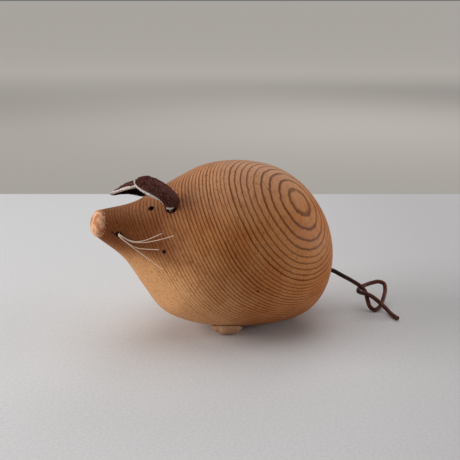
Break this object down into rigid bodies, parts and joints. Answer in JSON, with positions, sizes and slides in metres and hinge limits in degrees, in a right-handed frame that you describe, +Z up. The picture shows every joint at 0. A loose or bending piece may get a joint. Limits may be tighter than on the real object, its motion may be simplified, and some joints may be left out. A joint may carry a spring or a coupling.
{
  "type": "wooden mouse figurine",
  "caption": "Turned softwood mouse with a ball-shaped body and a cone snout, leather petal ears, bristle whiskers, wooden foot studs and a knotted leather cord tail",
  "frame": {"origin": "on the surface that the mouse stands on, under the middle of the box of the body, feet, ears and whiskers", "axes": "+X towards the tail, the nose points to -X, +Y towards the mouse's right side, +Z up"},
  "size_m": [0.1429, 0.074, 0.0752],
  "materials": {
    "wood": "oiled softwood with fine growth rings",
    "pale_wood": "bare pale wood",
    "ear_leather": "dark brown suede nap with pale cut edges",
    "tail_leather": "smooth round leather cord, red brown",
    "bristle": "pale stiff bristle"
  },
  "bodies": {
    "root": {"body": "wood", "foot_left": "pale_wood", "foot_right": "pale_wood", "ear_left": "ear_leather", "ear_right": "ear_leather", "tail": "tail_leather", "whisker_left_1": "bristle", "whisker_left_2": "bristle", "whisker_left_3": "bristle", "whisker_left_4": "bristle", "whisker_right_1": "bristle", "whisker_right_2": "bristle", "whisker_right_3": "bristle", "whisker_right_4": "bristle"}
  },
  "joints": []
}
